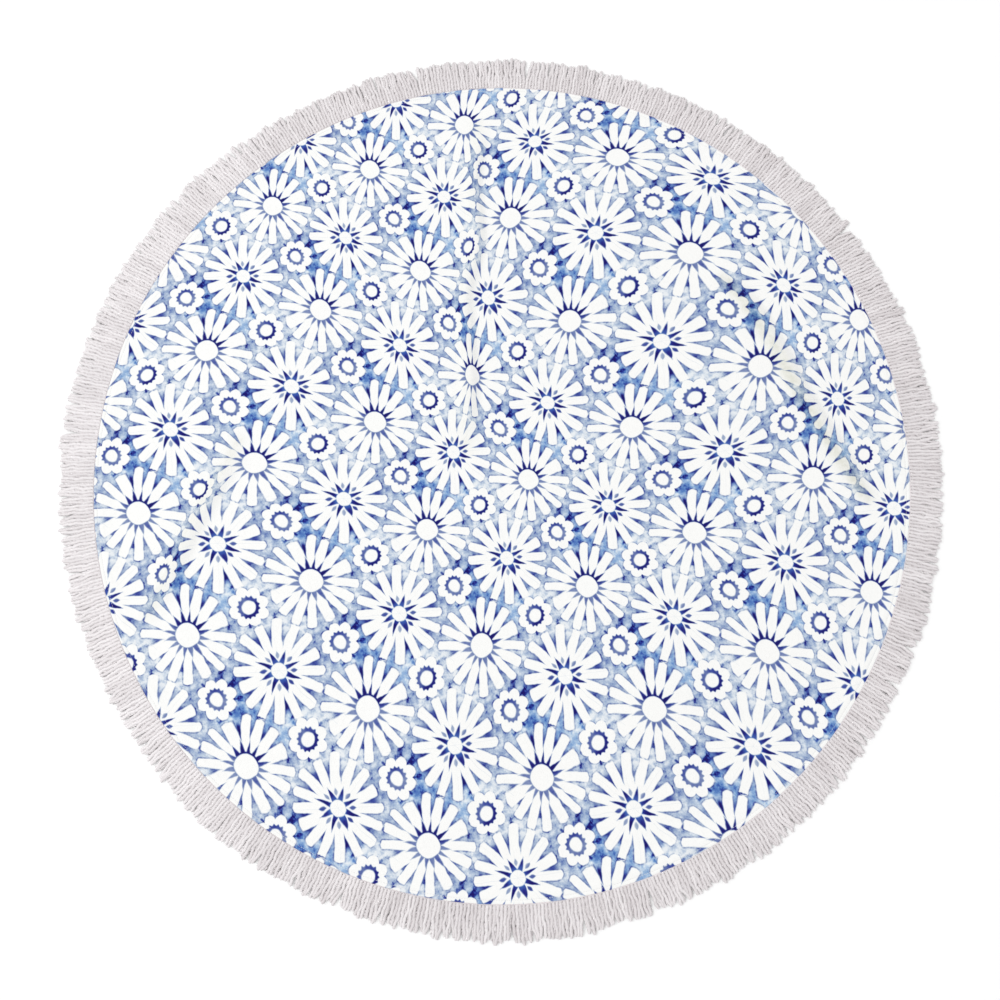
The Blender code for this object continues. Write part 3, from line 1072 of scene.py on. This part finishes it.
yarnCotton = makeCottonMaterial("yarnCotton")
yarnTree = makeYarnTree()
for name, arc, seed in (("fringe_yarns_upper", (0.0, 0.5), 31),
                        ("fringe_yarns_lower", (0.5, 1.0), 32)):
    lines = yarnLines(fringe["yarnHeight"], seed, arc, sag=fringe["sag"])
    mesh = runTree(name, lines, yarnTree, Ply_Width=fringe["plyWidth"],
                   Turn_Length=fringe["turnLength"], Flatness=fringe["flatness"],
                   Press=fringe["press"], Rings=28, Sides=8, Material=yarnCotton)
    addPiece(name, mesh, "cotton_yarn")
    print(name, len(mesh.polygons), "faces")
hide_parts("fringe_trim")

lines = yarnLines(fringe["underHeight"], 47, offset=0.5, shorter=fringe["underShorter"],
                  points=6)
underMesh = runTree("underYarns", lines, yarnTree, Ply_Width=fringe["underWidth"],
                    Turn_Length=fringe["underTurn"], Flatness=fringe["underFlatness"],
                    Press=fringe["press"], Rings=12, Sides=5, Material=yarnCotton)
underPiece = addPiece("fringe_under_yarns", underMesh, "cotton_yarn")
print("under yarns:", len(underMesh.polygons), "faces")


heading = {
    "flangeWidth": 0.010,      # the part that lies under the hem
    "flangeThickness": 0.0010,
    "ribsPerLock": 6,
    "ribDepth": 0.00022,
}


def buildHeading(material):
    # narrow woven band with small crosswise ribs, lying in the gap outside the hem
    inner = cloth["radius"] + fringe["edgeGap"]
    outer = cloth["radius"] + fringe["headingShowing"]
    flange = cloth["radius"] - heading["flangeWidth"]
    top, low = fringe["headingThickness"], heading["flangeThickness"]
    profile = ((outer, 0.0), (outer, top * 0.35), (outer - 0.0008, top * 0.55),
               (inner + 0.0026, top * 0.72), (inner + 0.0012, top * 0.94), (inner + 0.0003, top),
               (inner, top * 0.85), (inner, low), (flange, low), (flange, 0.0))
    count = fringe["locks"] * heading["ribsPerLock"]
    verts, faces = [], []
    for row, (radius, height) in enumerate(profile):
        points = ringPoints(radius, count) + np.array(clothCentre)
        depth = heading["ribDepth"] if height > top * 0.5 else 0.0
        verts.extend(np.column_stack([points, height - depth * (np.arange(count) % 2)]))
        after = (row + 1) % len(profile)
        faces.extend(bridge(row * count, after * count, count, count, True))
    mesh = bpy.data.meshes.new("fringeHeading")
    mesh.from_pydata(verts, [], faces)
    mesh.materials.append(material)
    mesh.polygons.foreach_set("use_smooth", [True] * len(faces))
    return mesh


headingMesh = buildHeading(makeCottonMaterial("headingCotton"))
headingPiece = addPiece("fringe_heading", headingMesh, "cotton_yarn")
print("heading:", len(headingMesh.polygons), "faces")


stitches = {
    "length": 0.0031,
    "gap": 0.0011,
    "thickness": 0.00032,
    "linePoints": 720,
}


def makeStitchTree():
    tree, given = startTree("sewRow", "Sewing", {
        "Geometry": ["Line"], "Float": ["Pitch", "Length", "Thickness"]})
    curve = addNode(tree, "GeometryNodeMeshToCurve", [given["Line"]])
    points = addNode(tree, "GeometryNodeCurveToPoints", {
        "Curve": curve, "Length": given["Pitch"]}, mode="LENGTH")
    ball = addNode(tree, "GeometryNodeMeshUVSphere", {"Segments": 6, "Rings": 4, "Radius": 0.5})
    thick = Wire(given["Thickness"].node, "Thickness") * 2.0
    size = addNode(tree, "ShaderNodeCombineXYZ", [thick, thick, given["Length"]])
    place = addNode(tree, "GeometryNodeInstanceOnPoints", {
        "Points": points, "Instance": ball, "Rotation": points.outputs["Rotation"],
        "Scale": size})
    return endTree(tree, place, given["Material"])


def sewingLine():
    count = stitches["linePoints"]
    points = ringPoints(cloth["radius"] - cloth["stitchInset"], count)
    height = clothLift(points) + clothThickness(points)
    points = points + np.array(clothCentre)
    mesh = bpy.data.meshes.new("sewingLine")
    mesh.from_pydata(np.column_stack([points, height]).tolist(),
                     [(a, (a + 1) % count) for a in range(count)], [])
    return mesh


sewingMesh = runTree("hemStitches", sewingLine(), makeStitchTree(),
                     Pitch=stitches["length"] + stitches["gap"], Length=stitches["length"],
                     Thickness=stitches["thickness"],
                     Material=makeCottonMaterial("threadCotton"))
sewingPiece = addPiece("hem_stitches", sewingMesh, "printed_terry")
print("stitches:", len(sewingMesh.polygons), "faces")
